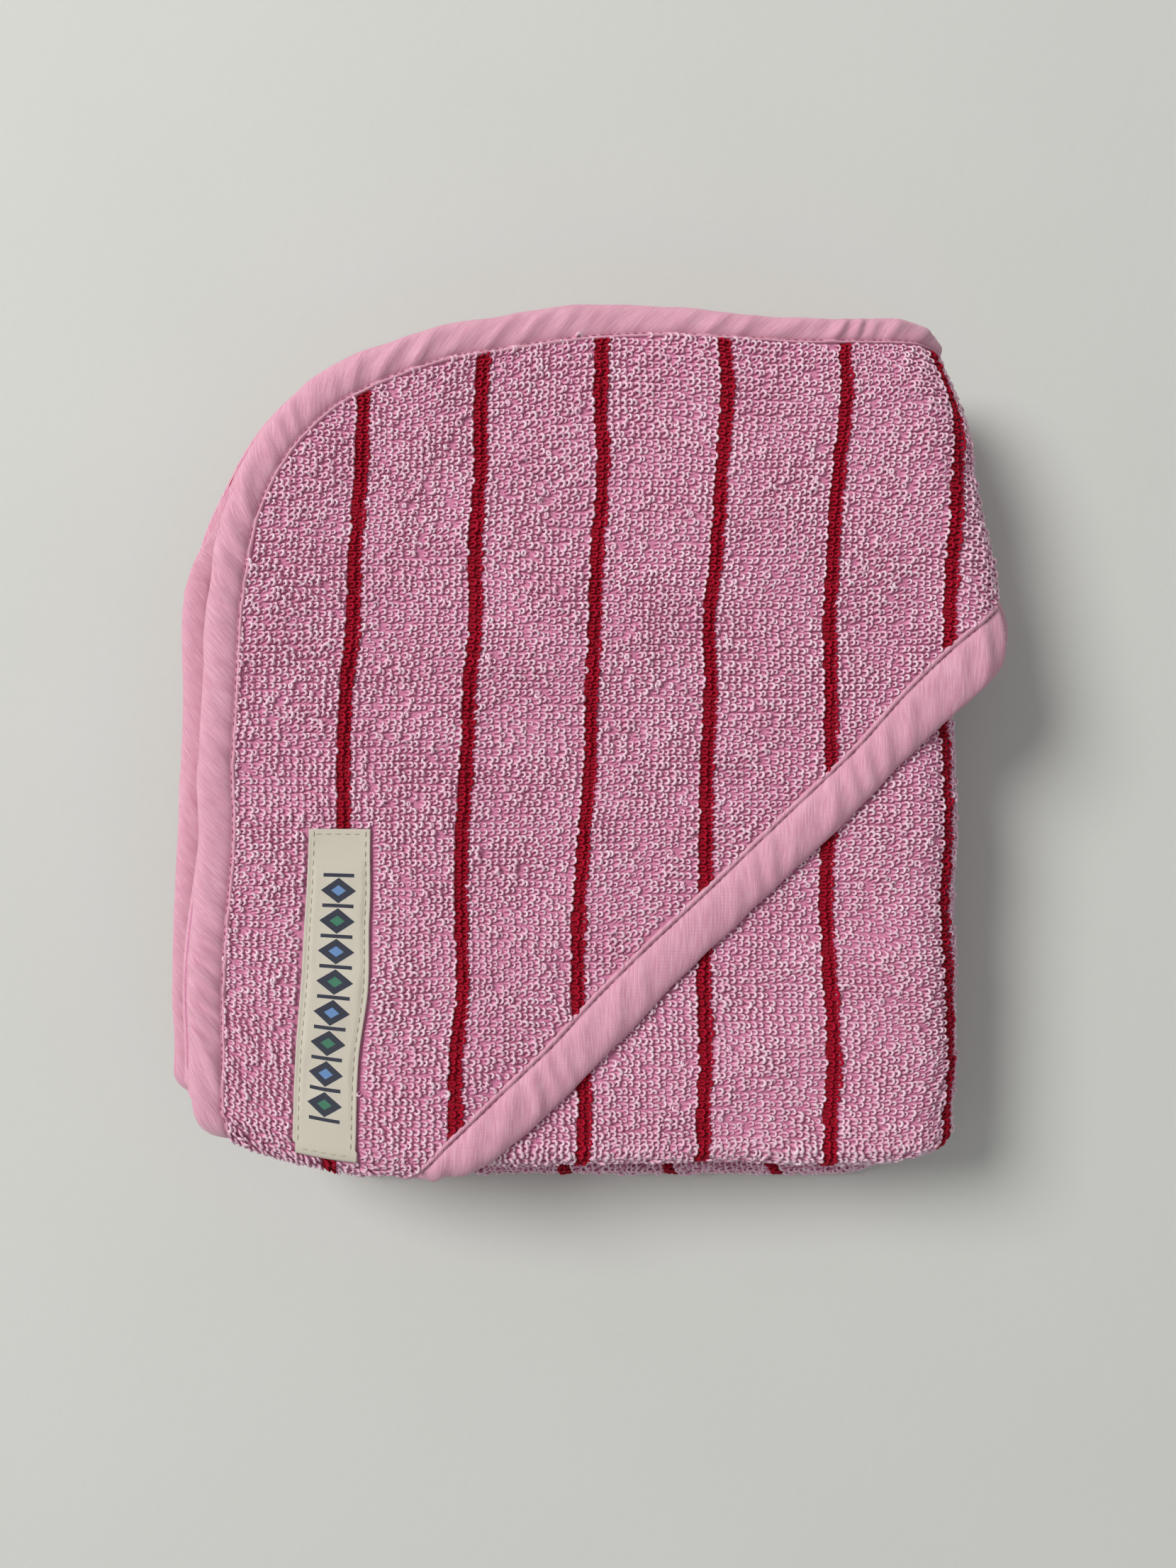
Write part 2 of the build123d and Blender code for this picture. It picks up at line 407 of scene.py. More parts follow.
    def make_room_for_hood(self, u, x, y, z):
        """The hood's two ends are folded under, so the packet is a layer thicker there."""
        under_front = ramp(-y, 0.035, 0.080) * ramp(-x, -0.005, 0.045) * (u < self.first)
        under_all = ramp(x, 0.000, 0.032) * ramp(y, 0.025, 0.058)
        return z + LAYER * under_front + LAYER * under_all * (1.0 - 0.8 * z / STACK)


def settle(x, y, z):
    """The soft, uneven set of the whole packet, the same for every piece."""
    level = np.clip(z / STACK, 0.0, 1.2)
    upper = ramp(level, 0.2, 0.55)
    x = x - SPINE_PULL * ramp(x, 0.070, 0.118) * ramp(y, 0.098, 0.138)

    # the foot rises towards its two corners
    foot = ramp(-y, 0.030, 0.110)
    left_side = np.clip(1.0 - (x + 0.114) / 0.058, 0.0, 1.2)
    left_low = np.clip(1.0 - (x + 0.100) / 0.034, 0.0, 1.2)
    right_side = np.clip(1.0 - (0.117 - x) / 0.030, 0.0, 1.2)
    y = y + foot * (0.016 * left_side**2 * upper + 0.012 * left_low**2 * (1.0 - upper))
    y = y + foot * 0.005 * right_side**2

    # the top edge has a crest near its middle and dips before the round corner
    head = ramp(y, 0.060, 0.128)
    y = y + head * upper * TOP_CREST * np.exp(-(((x - 0.012) / 0.034) ** 2))
    y = y - head * upper * ARC_DIP * np.exp(-(((x + 0.053) / 0.024) ** 2))

    wobble_x = 0.00120 * SIDE_WOBBLE(x / 0.050, y / 0.022)
    wobble_y = 0.00060 * LONG_WOBBLE(x / 0.026, y / 0.050)
    relief = 0.00100 * BROAD_RELIEF(x / 0.055, y / 0.044)
    relief += 0.00050 * PATCH_RELIEF(x / 0.021, y / 0.017)
    relief += 0.00012 * FINE_RELIEF(x / 0.008, y / 0.007)
    z = STAND_OFF + z * (1.0 - STAND_OFF / STACK) + relief * level
    z = np.where(z < PRESSED, PRESSED * np.exp(np.minimum(z - PRESSED, 0.0) / PRESSED), z)
    return x + wobble_x * level, y + wobble_y * level, z


BODY = Folding(0.0)
HOOD = Folding(LAYER)


def place_on_hood(u, v, n):
    """The hood panel is only sewn at its edges, so lower down it stands out loosely beside the spine."""
    return HOOD.place(u, v, LAYER + n, slack=ramp(v, 0.010, 0.110))


# ---- meshes
def add_object(name, data):
    thing = bpy.data.objects.new(name, data)
    bpy.context.scene.collection.objects.link(thing)
    return thing


def quads_of_grid(rows, columns, close_rows=False, close_columns=False):
    """Corner numbers of the quads of a grid of points, rows by columns."""
    number = np.arange(rows * columns).reshape(rows, columns)
    next_row = np.roll(number, -1, axis=0)
    corners = [number, np.roll(number, -1, axis=1), np.roll(next_row, -1, axis=1), next_row]
    quads = np.stack(corners, axis=-1)
    quads = quads if close_rows else quads[:-1]
    quads = quads if close_columns else quads[:, :-1]
    return quads.reshape(-1, 4)


def add_mesh(name, points, quads, materials, flat=None, slots=None):
    """A smooth mesh object. flat is each point's place on the flat piece, kept as a UV map."""
    mesh = bpy.data.meshes.new(name)
    points = points.reshape(-1, 3).astype(np.float32)
    corners = quads.ravel().astype(np.int32)
    mesh.vertices.add(len(points))
    mesh.vertices.foreach_set("co", points.ravel())
    mesh.loops.add(len(corners))
    mesh.loops.foreach_set("vertex_index", corners)
    mesh.polygons.add(len(quads))
    mesh.polygons.foreach_set("loop_start", np.arange(0, len(corners), 4, dtype=np.int32))
    mesh.polygons.foreach_set("use_smooth", np.ones(len(quads), dtype=bool))
    for material in materials:
        mesh.materials.append(material)
    if slots is not None:
        mesh.polygons.foreach_set("material_index", slots.astype(np.int32))
    if flat is not None:
        layer = mesh.uv_layers.new(name="cloth")
        at_corners = flat.reshape(-1, 2)[corners].astype(np.float32)
        layer.data.foreach_set("uv", at_corners.ravel())
    mesh.update(calc_edges=True)
    mesh.validate()
    piece = add_object(name, mesh)
    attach(piece, "root")
    return piece


def each(values):
    """One value per loop or stitch, to spread over its rings and sides."""
    return values[:, None, None]


def quads_of_tubes(count, rings, sides):
    """Corner numbers of the quads of that many open tubes."""
    one = quads_of_grid(rings, sides, close_columns=True)
    return (one[None] + each(np.arange(count) * rings * sides)).reshape(-1, 4)


def add_cloth(name, u, v, thickness_at, place, materials):
    """A closed sheet from a grid of flat points: two faces and a rim."""
    rows, columns = u.shape
    face = place(u, v, thickness_at)
    back = place(u, v, -thickness_at)
    count = rows * columns
    quads = quads_of_grid(rows, columns)
    number = np.arange(count).reshape(rows, columns)
    rim = np.concatenate([number[0, :-1], number[:-1, -1], number[-1, :0:-1], number[:0:-1, 0]])
    next_rim = np.roll(rim, -1)
    rim_quads = np.stack([rim, next_rim, next_rim + count, rim + count], axis=-1)
    all_quads = np.concatenate([quads[:, ::-1], quads + count, rim_quads])
    flat = np.stack([u, v], axis=-1).reshape(-1, 2)
    return add_mesh(
        name, np.concatenate([face.reshape(-1, 3), back.reshape(-1, 3)]), all_quads,
        materials, flat=np.concatenate([flat, flat]),
    )


def lines_between(breaks, spacings):
    """Grid lines over several stretches, each with its own spacing."""
    lines = [np.array([breaks[0]])]
    for start, end, spacing in zip(breaks[:-1], breaks[1:], spacings):
        steps = max(2, round((end - start) / spacing))
        lines.append(np.linspace(start, end, steps + 1)[1:])
    return np.concatenate(lines)


# ---- materials
class Shader:
    """A material being wired up."""

    def __init__(self, name, sheen=0.0, sheen_roughness=0.5, specular=0.5):
        self.material = bpy.data.materials.new(name)
        self.material.use_nodes = True
        self.tree = self.material.node_tree
        self.surface = self.tree.nodes["Principled BSDF"]
        self.surface.inputs["Sheen Weight"].default_value = sheen
        self.surface.inputs["Sheen Roughness"].default_value = sheen_roughness
        self.surface.inputs["Specular IOR Level"].default_value = specular

    def node(self, kind, inputs=(), **settings):
        node = self.tree.nodes.new(kind)
        for key, value in settings.items():
            setattr(node, key, value)
        for socket, value in dict(inputs).items():
            self.feed(node.inputs[socket], value)
        return node

    def feed(self, socket, value):
        if isinstance(value, bpy.types.NodeSocket):
            self.tree.links.new(value, socket)
        else:
            socket.default_value = value

    def maths(self, operation, first, second=0.0, third=0.0):
        node = self.node("ShaderNodeMath", operation=operation)
        for socket, value in zip(node.inputs, (first, second, third)):
            self.feed(socket, value)
        return node.outputs[0]

    def blend(self, factor, first, second):
        node = self.node("ShaderNodeMix", data_type="RGBA")
        self.feed(node.inputs["Factor"], factor)
        self.feed(node.inputs["A"], first)
        self.feed(node.inputs["B"], second)
        return node.outputs["Result"]

    def remap(self, value, low, high, new_low, new_high):
        inputs = {"Value": value, "From Min": low, "From Max": high, "To Min": new_low, "To Max": new_high}
        return self.node("ShaderNodeMapRange", inputs).outputs["Result"]

    def noise(self, vector, scale, detail=2.0):
        inputs = {"Vector": vector, "Scale": scale, "Detail": detail}
        return self.node("ShaderNodeTexNoise", inputs).outputs["Fac"]

    def flat(self):
        """The piece's own flat coordinates, in metres."""
        return self.node("ShaderNodeUVMap", uv_map="cloth").outputs["UV"]

    def across_and_along(self, vector):
        split = self.node("ShaderNodeSeparateXYZ", {"Vector": vector})
        return split.outputs["X"], split.outputs["Y"]

    def bump(self, height, distance, strength=1.0):
        inputs = {"Height": height, "Distance": distance, "Strength": strength}
        self.feed(self.surface.inputs["Normal"], self.node("ShaderNodeBump", inputs).outputs["Normal"])

    def colour(self, value):
        self.feed(self.surface.inputs["Base Color"], value)

    def roughness(self, value):
        self.feed(self.surface.inputs["Roughness"], value)


# Painted highlight and shade on the loops: the pale colours make each loop's tip paler, and the deep ones
# darken its roots and also tint random patches and fibres.
PINK_PAINTED_HIGHLIGHT = (0.980, 0.800, 0.890, 1.0)
PINK = (0.950, 0.550, 0.735, 1.0)
PINK_PAINTED_SHADE_AND_MOTTLE = (0.710, 0.245, 0.420, 1.0)
# painted shade: the ground between the loops is mostly this darker pink, or the deep crimson in the stripes
PINK_SHADE = (0.580, 0.180, 0.330, 1.0)
CRIMSON_PAINTED_HIGHLIGHT = (0.500, 0.002, 0.030, 1.0)
CRIMSON = (0.380, 0.001, 0.018, 1.0)
CRIMSON_PAINTED_SHADE_AND_MOTTLE = (0.280, 0.000, 0.013, 1.0)
BINDING_LIGHT = (0.820, 0.460, 0.580, 1.0)
BINDING_PINK = (0.620, 0.265, 0.375, 1.0)
BINDING_DEEP = (0.470, 0.160, 0.270, 1.0)
CREAM = (0.710, 0.655, 0.560, 1.0)
CREAM_DARK = (0.540, 0.490, 0.400, 1.0)
NAVY = (0.010, 0.014, 0.040, 1.0)
LEAF_GREEN = (0.030, 0.200, 0.110, 1.0)
SKY_BLUE = (0.130, 0.270, 0.560, 1.0)

WEAVE_PITCH = 0.00042  # from one thread of a woven tape to the next
MOTIF = 0.0092  # from one of the label's figures to the next
LOZENGE_HALF_W = 0.0052
BAR_HALF_W = 0.0046


def make_ground_material():
    """The woven ground between the loops, with the stripes woven in. It is painted mostly in a darker pink
    and crimson than the loops, as painted shade for the gaps, with random mottling.
    """
    s = Shader("terry_ground", sheen=0.1, sheen_roughness=0.6, specular=0.25)
    across, _ = s.across_and_along(s.flat())
    from_stripe = s.maths("PINGPONG", s.maths("SUBTRACT", across, STRIPE_FIRST), STRIPE_PITCH / 2)
    edge = s.maths("MULTIPLY", s.maths("SUBTRACT", s.noise(s.flat(), 900.0), 0.5), 0.0010)
    in_stripe = s.maths("LESS_THAN", s.maths("ADD", from_stripe, edge), STRIPE_W / 2)
    mottle = s.noise(s.flat(), 520.0, 3.0)
    # painted shade: mostly the darker colour, lightened a little by the random mottle
    pink = s.blend(s.remap(mottle, 0.3, 0.8, 0.0, 0.30), PINK_SHADE, PINK)
    red = s.blend(s.remap(mottle, 0.3, 0.8, 0.0, 0.5), CRIMSON_PAINTED_SHADE_AND_MOTTLE, CRIMSON)
    s.colour(s.blend(in_stripe, pink, red))
    s.bump(s.noise(s.flat(), 1100.0, 3.0), 0.0006)
    s.roughness(s.remap(mottle, 0.2, 0.8, 0.82, 0.98))
    return s.material


def make_loop_material(name, painted_highlight, mid, shade_and_mottle, sheen):
    """Soft cotton yarn with painted highlight and shade: paler towards each loop's tip, darker towards its
    roots, with random darker patches and fine fibres along it.
    """
    s = Shader(name, sheen=sheen, specular=0.2)
    spot = s.node("ShaderNodeTexCoord").outputs["Object"]
    tip, _ = s.across_and_along(s.flat())
    own_shade = s.node("ShaderNodeNewGeometry").outputs["Random Per Island"]
    patch = s.noise(spot, 60.0, 3.0)
    fibre = s.noise(spot, 2400.0)
    # painted shade: each loop is darker towards its roots
    base = s.blend(s.remap(tip, 0.15, 1.0, 0.0, 1.0), shade_and_mottle, mid)
    # painted highlight: each loop is paler towards its tip, by a random amount for each loop
    tip_highlight = s.maths("MULTIPLY", s.remap(tip, 0.40, 0.95, 0.0, 1.0), s.remap(own_shade, 0.0, 1.0, 0.35, 1.0))
    base = s.blend(tip_highlight, base, painted_highlight)
    base = s.blend(s.remap(patch, 0.40, 0.70, 0.0, 0.28), base, shade_and_mottle)
    s.colour(s.blend(s.remap(fibre, 0.35, 0.65, 0.22, 0.0), base, shade_and_mottle))
    s.bump(fibre, 0.00025, 1.0)
    s.roughness(s.remap(fibre, 0.3, 0.7, 0.92, 0.76))
    return s.material


def make_binding_material():
    """Plain-woven cotton tape cut on the bias: its threads run at 45 degrees to it, in uneven shades."""
    s = Shader("binding_cotton", sheen=0.22, specular=0.3)
    across, along = s.across_and_along(s.flat())
    per_thread = 2 * math.pi / (WEAVE_PITCH * DIAGONAL)
    one_way = s.maths("MULTIPLY", s.maths("ADD", across, along), per_thread)
    other_way = s.maths("MULTIPLY", s.maths("SUBTRACT", across, along), per_thread)
    weave = s.maths("ADD", s.maths("SINE", one_way), s.maths("MULTIPLY", s.maths("SINE", other_way), 0.7))

    def thread_shades(angle, density):
        turn = (0.0, 0.0, math.radians(angle))
        turned = s.node("ShaderNodeMapping", {"Vector": s.flat(), "Rotation": turn}).outputs["Vector"]
        drawn_out = s.node("ShaderNodeMapping", {"Vector": turned, "Scale": (1.0, 0.06, 1.0)})
        return s.noise(drawn_out.outputs["Vector"], density)

    slub = s.maths("MULTIPLY_ADD", thread_shades(-45.0, 2600.0), 0.16, thread_shades(45.0, 2400.0))
    cloud = s.noise(s.flat(), 60.0, 3.0)
    shade = s.blend(s.remap(slub, 0.42, 0.78, 0.10, 0.95), BINDING_PINK, BINDING_LIGHT)
    shade = s.blend(s.remap(cloud, 0.3, 0.7, 0.2, 0.0), shade, BINDING_PINK)
    s.colour(s.blend(s.remap(weave, -1.6, 0.2, 0.14, 0.0), shade, BINDING_DEEP))
    s.bump(s.maths("MULTIPLY_ADD", slub, 2.0, weave), 0.00003, 0.7)
    s.roughness(s.remap(slub, 0.35, 0.85, 0.88, 0.74))
    return s.material


def make_label_material():
    """Cream satin ribbon with a woven band of plain lozenges and bars."""
    s = Shader("label_satin", sheen=0.15, specular=0.45)
    across, along = s.across_and_along(s.flat())
    phase = s.maths("PINGPONG", along, MOTIF / 2)
    number = s.maths("FLOOR", s.maths("DIVIDE", s.maths("ADD", along, MOTIF / 2), MOTIF))
    parity = s.maths("MODULO", number, 2.0)
    wide = s.maths("ABSOLUTE", across)
    lozenge = s.maths("DIVIDE", wide, LOZENGE_HALF_W)
    lozenge = s.maths("ADD", lozenge, s.maths("DIVIDE", phase, MOTIF * 0.42))
    dark = s.maths("LESS_THAN", lozenge, 1.0)
    core = s.maths("LESS_THAN", lozenge, 0.42)
    bar = s.maths("GREATER_THAN", phase, MOTIF * 0.44)
    bar = s.maths("MULTIPLY", bar, s.maths("LESS_THAN", wide, BAR_HALF_W))
    figure = s.maths("MAXIMUM", dark, bar)
    rib = s.maths("SINE", s.maths("MULTIPLY", s.maths("ADD", across, along), 2 * math.pi / WEAVE_PITCH))
    fibre = s.noise(s.flat(), 3000.0)
    ground = s.blend(s.remap(rib, -1.0, 1.0, 0.45, 0.0), CREAM, CREAM_DARK)
    accent = s.blend(parity, SKY_BLUE, LEAF_GREEN)
    woven = s.blend(core, NAVY, accent)
    from_middle = s.maths("ABSOLUTE", s.maths("SUBTRACT", along, 5.5 * MOTIF))
    in_band = s.maths("LESS_THAN", from_middle, 4.0 * MOTIF + 0.0007)
    s.colour(s.blend(s.maths("MULTIPLY", figure, in_band), ground, woven))
    s.bump(s.maths("ADD", rib, fibre), 0.00005, 0.8)
    s.roughness(s.remap(fibre, 0.3, 0.7, 0.62, 0.42))
    return s.material


def make_thread_material(name, light, dark):
    s = Shader(name, sheen=0.2, specular=0.4)
    spot = s.node("ShaderNodeTexCoord").outputs["Object"]
    twist = s.noise(spot, 3500.0)
    s.colour(s.blend(twist, dark, light))
    s.bump(twist, 0.00008, 0.8)
    s.roughness(s.remap(twist, 0.3, 0.7, 0.8, 0.6))
    return s.material


GROUND = make_ground_material()
PINK_LOOP = make_loop_material("terry_loop_pink", PINK_PAINTED_HIGHLIGHT, PINK, PINK_PAINTED_SHADE_AND_MOTTLE, 0.45)
RED_LOOP = make_loop_material("terry_loop_crimson", CRIMSON_PAINTED_HIGHLIGHT, CRIMSON, CRIMSON_PAINTED_SHADE_AND_MOTTLE, 0.0)
BINDING = make_binding_material()
SATIN = make_label_material()
PINK_THREAD = make_thread_material("pink_thread", (0.38, 0.11, 0.21, 1.0), (0.20, 0.04, 0.09, 1.0))
CREAM_THREAD = make_thread_material("cream_thread", (0.62, 0.56, 0.42, 1.0), (0.42, 0.37, 0.27, 1.0))


# ---- the two terry sheets
def make_towel_sheet():
    across_breaks = [
        0.0, BODY.first, BODY.spine_end, BODY.lower_end, BODY.left_end, BODY.third_end, BODY.inner_end, TOWEL,
    ]
    across = lines_between(across_breaks, [0.0045, 0.0034, 0.006, 0.0028, 0.009, 0.0013, 0.009])
    along = lines_between(BODY.v_breaks, [0.0045, 0.0014, 0.006, 0.0008, 0.009, 0.0009, 0.006])
    u, v = round_cloth_corners(*np.meshgrid(across, along))
    return add_cloth("towel_sheet", u, v, HALF, BODY.place, [GROUND])


def hood_edge_v(u):
    """Where the towel's own edge lies at that u, round its corner."""
    short = np.clip(CORNER_R - u, 0.0, CORNER_R)
    return CORNER_R - np.sqrt(np.maximum(CORNER_R**2 - short**2, 0.0))


def make_hood_sheet():
    edge_gap, rows, columns = 0.0007, 150, 150
    cut = HOOD_LEG + (HOOD_BINDING_W - 0.0015) * DIAGONAL  # it ends just short of the tape's fold
    across = edge_gap + (cut - 0.006 - edge_gap) * np.linspace(0.0, 1.0, columns)
    u, share = np.meshgrid(across, np.linspace(0.0, 1.0, rows))
    start = hood_edge_v(u) + edge_gap
    v = start + (cut - u - start) * share
    return add_cloth("hood_sheet", u, v, HALF, place_on_hood, [GROUND])


# ---- the pile
LOOP_YARN_R = 0.00041
LOOP_HALF_W = 0.00067  # half of the loop's width at its widest
LOOP_HALF_H = 0.00062
LOOP_CENTRE_H = 0.00118
LOOP_ROOT = 0.00052  # half of the distance between its two roots
UNDER_BINDING = 0.0004  # how far under a binding the first loops stand
LOOPS_PER_PIECE = 3000

LOOP_YAW = Noise(21)
LOOP_LEAN = Noise(22)


def loop_path(arc_points):
    """One loop in its own plane: places along the cloth and above it, and shares of its height."""
    swing = np.linspace(-1.75, 1.75, arc_points)
    along = np.concatenate([[-LOOP_ROOT], LOOP_HALF_W * np.sin(swing), [LOOP_ROOT]])
    above = np.concatenate([[-0.0002], LOOP_CENTRE_H + LOOP_HALF_H * np.cos(swing), [-0.0002]])
    return along, above, above / above.max()


def loop_stances(u, v, size, seed):
    """Whether each loop is crimson, then its lean, side, yaw, scale, skew and place, all a little random."""
    count = len(u)
    rng = np.random.default_rng(seed)
    column = np.mod(np.floor((u - STRIPE_FIRST) / COLUMN + 1.0), COLUMNS_PER_STRIPE)
    red = column < RED_COLUMNS
    near_stripe = np.isin(column, (0, 1, 2, 3, COLUMNS_PER_STRIPE - 1))
    calm = np.where(red, 0.45, 1.0)
    lean = 1.08 + 0.30 * LOOP_LEAN(u / 0.012, v / 0.009) + rng.normal(0.0, 0.12, count)
    lean = np.clip(lean, 0.50, 1.36)
    side = np.where((rng.random(count) < 0.985) | near_stripe, 1.0, -1.0)
    yaw = (-0.15 + 0.40 * LOOP_YAW(u / 0.016, v / 0.011) + rng.normal(0.0, 0.20, count)) * calm
    scale = size * np.clip(rng.normal(1.0, 0.12, count), 0.70, 1.30)
    skew = rng.normal(0.00010, 0.00030, count) * calm
    u = u + rng.normal(-0.00060, 0.00018, count) * calm
    v = v + rng.normal(0.0, 0.00011, count) * calm
    return red, lean, side, yaw, scale, skew, u, v


def add_pile(name, place, u, v, seed, size=1.0, arc_points=7, height=1.0):
    """A field of yarn loops standing on the cloth at the given flat places."""
    count = len(u)
    red, *stances = loop_stances(u, v, size, seed)
    lean, side, yaw, scale, skew, u, v = (each(values) for values in stances)

    # the yarn's surface round the loop's path, in the loop's own plane and to its side
    path_along, path_above, tip = (line[:, None] for line in loop_path(arc_points))
    slope, run = np.gradient(path_above, axis=0), np.gradient(path_along, axis=0)
    reach = np.hypot(slope, run)
    sides = 4
    around = np.linspace(0.0, 2 * math.pi, sides, endpoint=False) + math.pi / 4
    in_plane, lateral = LOOP_YARN_R * np.cos(around), LOOP_YARN_R * np.sin(around)
    along = path_along - in_plane * (slope / reach)
    above = path_above + in_plane * (run / reach)
    rings = len(path_along)
    twist = np.linspace(-1.0, 1.0, rings)[:, None] * np.clip(path_above, 0, 1) / LOOP_CENTRE_H

    sideways = lateral + skew * twist
    across = above * (np.sin(lean) * side) + sideways * np.cos(lean)
    out = above * np.cos(lean) - sideways * (np.sin(lean) * side)
    loop_u = u + (across * np.cos(yaw) - along * np.sin(yaw)) * scale
    loop_v = v + (across * np.sin(yaw) + along * np.cos(yaw)) * scale
    points = place(loop_u.ravel(), loop_v.ravel(), (HALF + out * scale * height).ravel())

    quads = quads_of_tubes(count, rings, sides)
    along_yarn = np.linspace(0.0, 1.0, rings)[:, None]
    flat = np.stack(np.broadcast_arrays(tip, along_yarn, above)[:2], axis=-1)
    flat = np.tile(flat.reshape(-1, 2), (count, 1))
    slots = np.repeat(red, len(quads) // count)
    return add_mesh(name, points, quads, [PINK_LOOP, RED_LOOP], flat=flat, slots=slots)


def loop_places(u_range, v_range, coarse=1.0, row=ROW):
    """Where the loops of a field stand. A coarse field leaves out every third pink column."""
    first = math.ceil((u_range[0] - STRIPE_FIRST) / COLUMN)
    last = math.floor((u_range[1] - STRIPE_FIRST) / COLUMN)
    columns = np.arange(first, last + 1)
    if coarse > 1.0:
        number = np.mod(columns, COLUMNS_PER_STRIPE)
        columns = columns[(number < RED_COLUMNS) | (number % 3 != 1)]
    across = STRIPE_FIRST + (columns - 0.5) * COLUMN
    along = np.arange(v_range[0], v_range[1], row * coarse)
    u, v = np.meshgrid(across, along)
    v = v + np.where(np.mod(columns, 2) == 0, row * 0.07, -row * 0.07)
    return u.ravel(), v.ravel()


def near_rounded_edge(u, v, margin):
    """Whether a point is beyond the towel's rounded outline or within margin of it."""
    short_u = CORNER_R - u
    short_v = CORNER_R - v
    in_corner = (short_u > 0) & (short_v > 0)
    reach = np.where(in_corner, np.hypot(short_u, short_v), np.maximum(short_u, short_v))
    return reach > CORNER_R - margin


def face_width(u, v):
    """The binding's width on the face: the terry rolls over it along the right of the top edge."""
    return BINDING_W - 0.0036 * ramp(u, 0.095, 0.165) * (v < 0.05)


def under_label(u, v):
    """Where a loop would start under the label, or close enough to lean over it."""
    across, along = u - LABEL_U, v - LABEL_TOP_V
    beside = (across > -LABEL_W / 2 - 0.0012) & (across < LABEL_W / 2 + 0.0004)
    return beside & (along > -0.0002) & (along < LABEL_L + 0.0008)


def split_pile(name, place, u, v, **options):
    """A field of loops as a few meshes, cut along the rows."""
    parts = max(1, math.ceil(len(u) / LOOPS_PER_PIECE))
    fields = enumerate(np.array_split(np.argsort(v, kind="stable"), parts))
    return [
        add_pile(f"{name}_{i + 1}" if parts > 1 else name, place, u[field], v[field], 100 + i, **options)
        for i, field in fields
    ]


def make_hood_pile():
    u, v = loop_places((0.0, HOOD_LEG), (0.0, HOOD_LEG))
    keep = u + v < HOOD_LEG - 0.0006
    keep &= ~near_rounded_edge(u, v, face_width(u, v) - UNDER_BINDING)
    keep &= ~under_label(u, v)
    keep &= (u <= HOOD.spine_end - 0.006) & (v <= HOOD.v_breaks[2] + 0.004)
    return split_pile("hood_pile", place_on_hood, u[keep], v[keep])


def make_body_pile():
    pieces = []

    def field(name, u_range, v_range, coarse=1.0, row=ROW, **options):
        u, v = loop_places(u_range, v_range, coarse, row)
        under_hood = 0.0450 * ramp(u, BODY.first - 0.010, BODY.first + 0.004)
        keep = u + v > HOOD_CUT - 0.0030 - under_hood
        keep &= v > BINDING_W - UNDER_BINDING
        pieces.extend(split_pile(name, BODY.place, u[keep], v[keep], **options))

    foot, foot_end = BODY.v_breaks[1], BODY.v_breaks[2]
    field("front_pile", (0.05, BODY.first), (0.08, foot))
    field("spine_pile", (BODY.first, BODY.spine_end), (0.04, foot))
    field("foot_fold_pile", (0.002, TOWEL - BINDING_W), (foot, foot_end), row=ROW * 0.8)
    field("left_fold_pile", (BODY.lower_end, BODY.left_end), (0.0, foot))
    field("ledge_pile", (BODY.left_end, BODY.third_end), (foot - 0.026, foot))
    field(
        "underside_pile", (BODY.spine_end, BODY.lower_end), (0.0, foot),
        coarse=1.3, size=1.2, arc_points=5, height=0.5,
    )
    return pieces


# ---- the bindings
OUTLINE_START = 0.6  # the tape's own join lies inside the packet


def towel_outline(step):
    """The towel's edge: flat places, outward directions and lengths along it, once round."""
    straight = TOWEL - 2 * CORNER_R
    side_length = straight + math.pi / 2 * CORNER_R
    total = 4 * side_length
    s = np.linspace(0.0, total, round(total / step), endpoint=False)
    from_corner = np.mod(s + OUTLINE_START * total, total)
    side = np.floor(from_corner / side_length).astype(int) % 4
    along = from_corner - side * side_length
    angle = np.maximum(along - straight, 0.0) / CORNER_R
    x = np.minimum(along, straight) - straight / 2 + CORNER_R * np.sin(angle)
    y = straight / 2 + CORNER_R * np.cos(angle)
    out_x, out_y = np.sin(angle), np.cos(angle)
    turn = side * math.pi / 2
    cos_t, sin_t = np.cos(turn), np.sin(turn)
    u = TOWEL / 2 + x * cos_t + y * sin_t
    v = TOWEL / 2 - (-x * sin_t + y * cos_t)
    out_u = out_x * cos_t + out_y * sin_t
    out_v = -(-out_x * sin_t + out_y * cos_t)
    return s, u, v, out_u, out_v


# Across a tape, from its inner edge at 0 to its folded outer edge at 1, and its height there in metres:
# a narrow lip, the groove that the seam pulls in, then the padded fold.
TAPE_ACROSS, TAPE_HEIGHT = np.array([
    (0.0, 0.0001), (0.015, 0.00075), (0.05, 0.0010), (0.08, 0.00070), (0.105, 0.00005),
    (0.14, 0.00060), (0.21, 0.00120), (0.33, 0.00160), (0.46, 0.00180), (0.60, 0.00175),
    (0.73, 0.00150), (0.85, 0.00120), (0.93, 0.0009), (0.98, 0.0007), (1.0, 0.0006),
]).T
SEAM = 0.105  # where the seam runs, as a share of the tape's width
ROLL_START = 0.72
FOLD_PITCH = 0.0098  # between the slanting folds that the seam pulls in a tape


def tape_section(face, back, lift):
    """Heights round a tape's section: the face side out to the fold, and back along the other side."""
    middle = (face + back) / 2
    past = np.clip(TAPE_ACROSS - ROLL_START, 0, 1) / (1.0 - ROLL_START)
    roll = np.sqrt(np.clip(1.0 - past**2, 0, 1))
    top = middle + (face + lift * TAPE_HEIGHT - middle) * roll
    low = middle + (back - 0.2 * lift * TAPE_HEIGHT - middle) * roll
    return np.concatenate([top, low[:, -2::-1]], axis=1)


